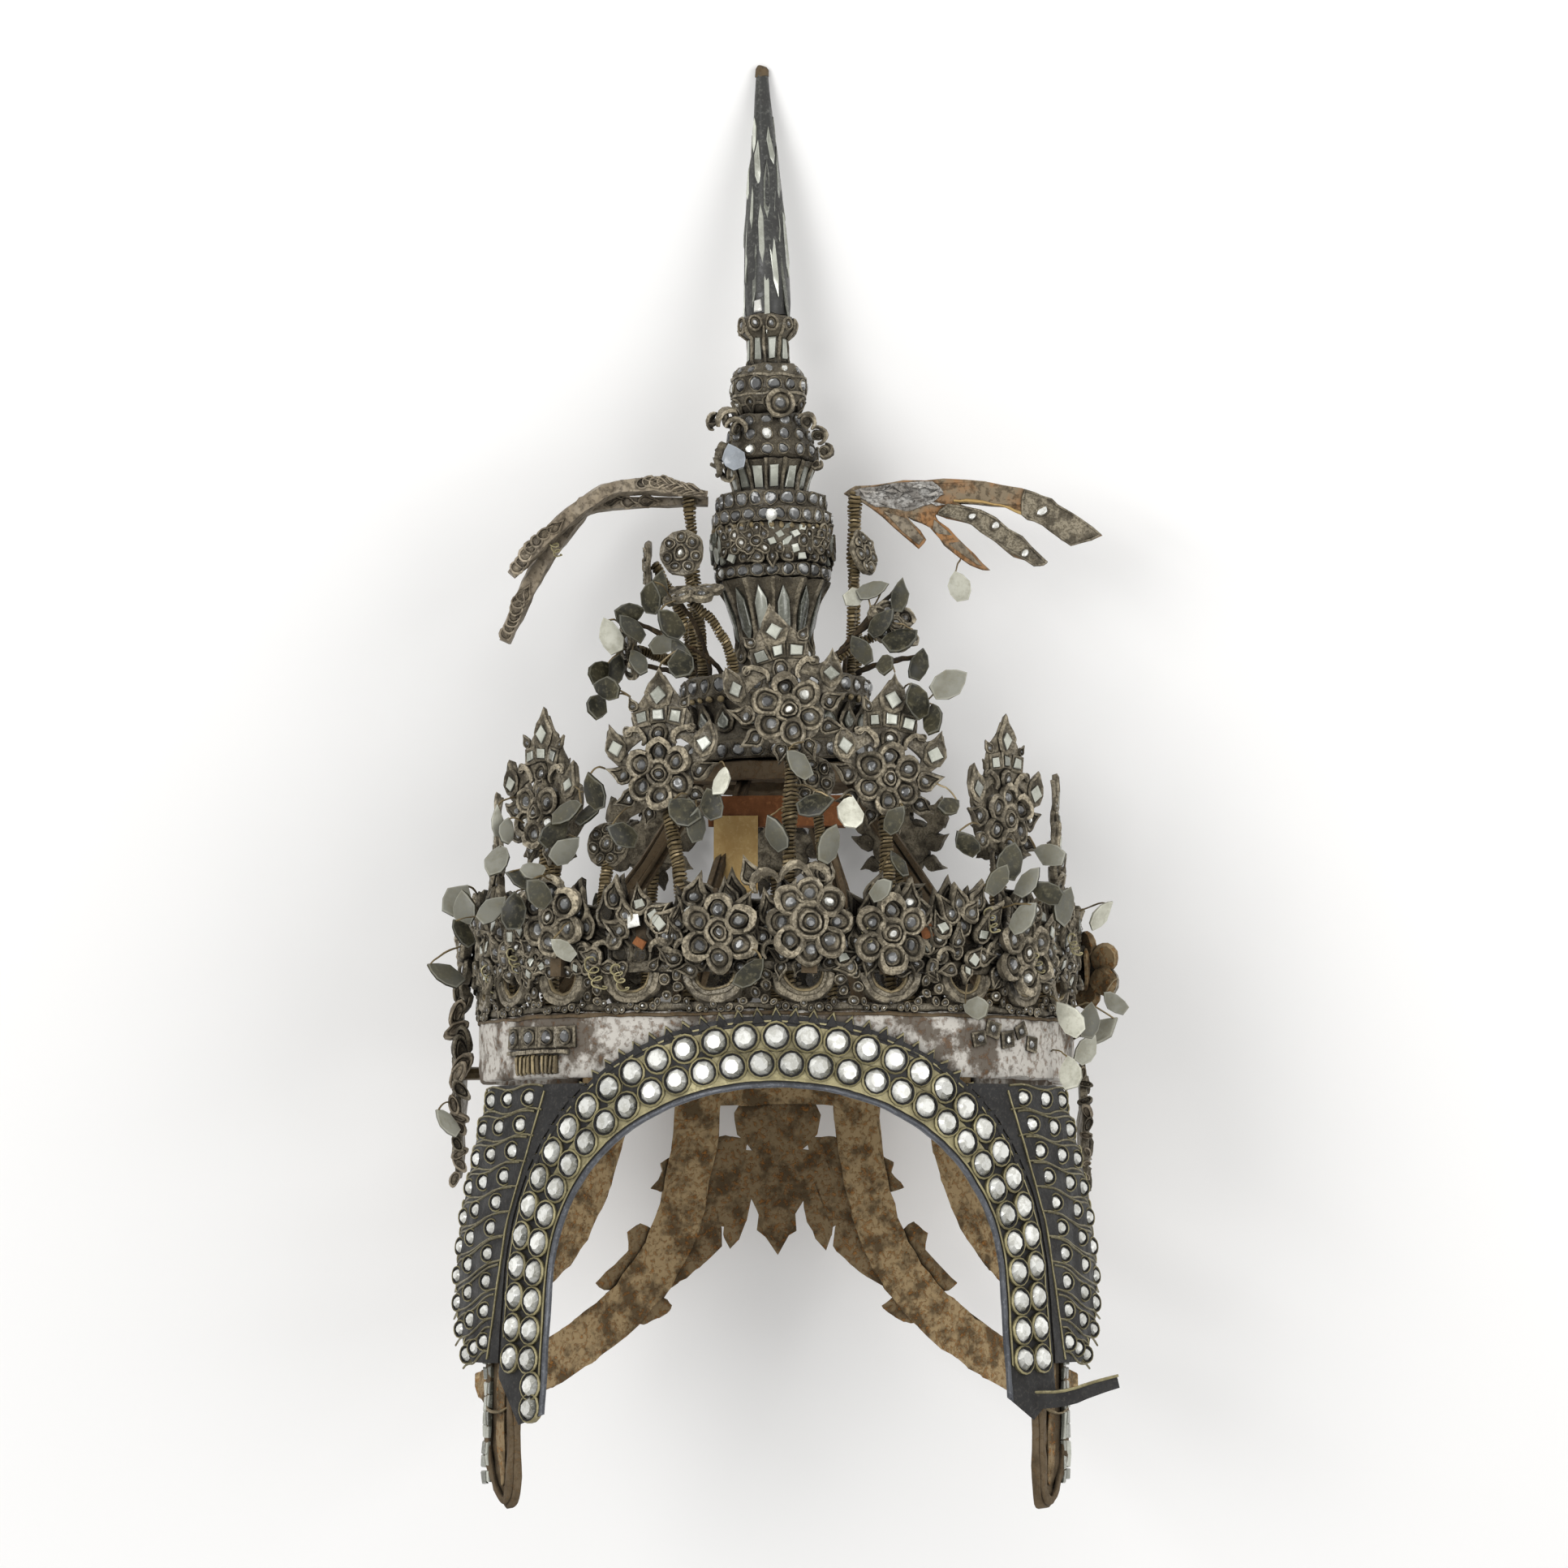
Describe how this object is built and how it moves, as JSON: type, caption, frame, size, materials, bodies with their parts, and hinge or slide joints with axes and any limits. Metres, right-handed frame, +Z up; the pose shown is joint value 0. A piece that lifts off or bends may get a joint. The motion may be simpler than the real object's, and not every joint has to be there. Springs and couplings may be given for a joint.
{
  "type": "thai headdress",
  "caption": "Thai dance crown lying on its back: tiered tower with spire, spring-mounted palmettes and flowers, pierced crest, jewelled frontlet, side panels and nape guard",
  "frame": {"origin": "on the table under the middle of the crown's box, as it lies", "axes": "+Z up from the table, +Y along the table to the spire's tip, +X to the viewer's right of the face"},
  "size_m": [0.2142, 0.436, 0.2205],
  "materials": {
    "aged_gilt": "dull gilt lacquer gone grey-brown, dusty",
    "gesso": "chalky white ground, flaking and stained",
    "black_plate": "black lacquered sheet with worn edges",
    "rusty_sheet": "brown sheet with orange rust and pale scale",
    "wood": "bare weathered wood",
    "mirror_mosaic": "dark resin with slivers of mirror",
    "mirror_glass": "small cut mirror tiles, tarnished",
    "foil_stone": "foil-backed glass stones",
    "brass": "dull greenish brass bezels and spring wire"
  },
  "bodies": {
    "root": {"crest_back": "aged_gilt", "crest_flower_1": "aged_gilt", "crest_flower_2": "aged_gilt", "crest_flower_3": "aged_gilt", "crest_flower_4": "aged_gilt", "crest_flower_5": "aged_gilt", "crest_flower_6": "aged_gilt", "crest_flower_7": "aged_gilt", "crest_flower_8": "aged_gilt", "crest_flower_9": "aged_gilt", "crest_front": "aged_gilt", "ear_board_left": "wood", "ear_board_right": "wood", "ear_plate_left": "aged_gilt", "ear_plate_right": "aged_gilt", "frontlet": "black_plate", "headband": "gesso", "leaf_tier": "aged_gilt", "lotus_cup": "aged_gilt", "lower_bulb": "aged_gilt", "nape_guard": "rusty_sheet", "neck": "aged_gilt", "palmette_1": "aged_gilt", "palmette_10": "aged_gilt", "palmette_11": "aged_gilt", "palmette_12": "aged_gilt", "palmette_2": "aged_gilt", "palmette_3": "aged_gilt", "palmette_4": "aged_gilt", "palmette_5": "aged_gilt", "palmette_6": "aged_gilt", "palmette_7": "aged_gilt", "palmette_8": "aged_gilt", "palmette_9": "aged_gilt", "roof_frame": "wood", "rosette_1": "aged_gilt", "rosette_2": "aged_gilt", "rosette_3": "aged_gilt", "rosette_4": "aged_gilt", "rosette_5": "aged_gilt", "rosette_6": "aged_gilt", "rosette_7": "aged_gilt", "rosette_8": "aged_gilt", "side_panel_left": "black_plate", "side_panel_right": "black_plate", "spire": "mirror_mosaic", "stone_rings": "aged_gilt", "tower_base": "aged_gilt", "upper_bulb": "aged_gilt", "upper_cup": "aged_gilt", "wing_left": "aged_gilt", "wing_right": "aged_gilt"}
  },
  "joints": []
}
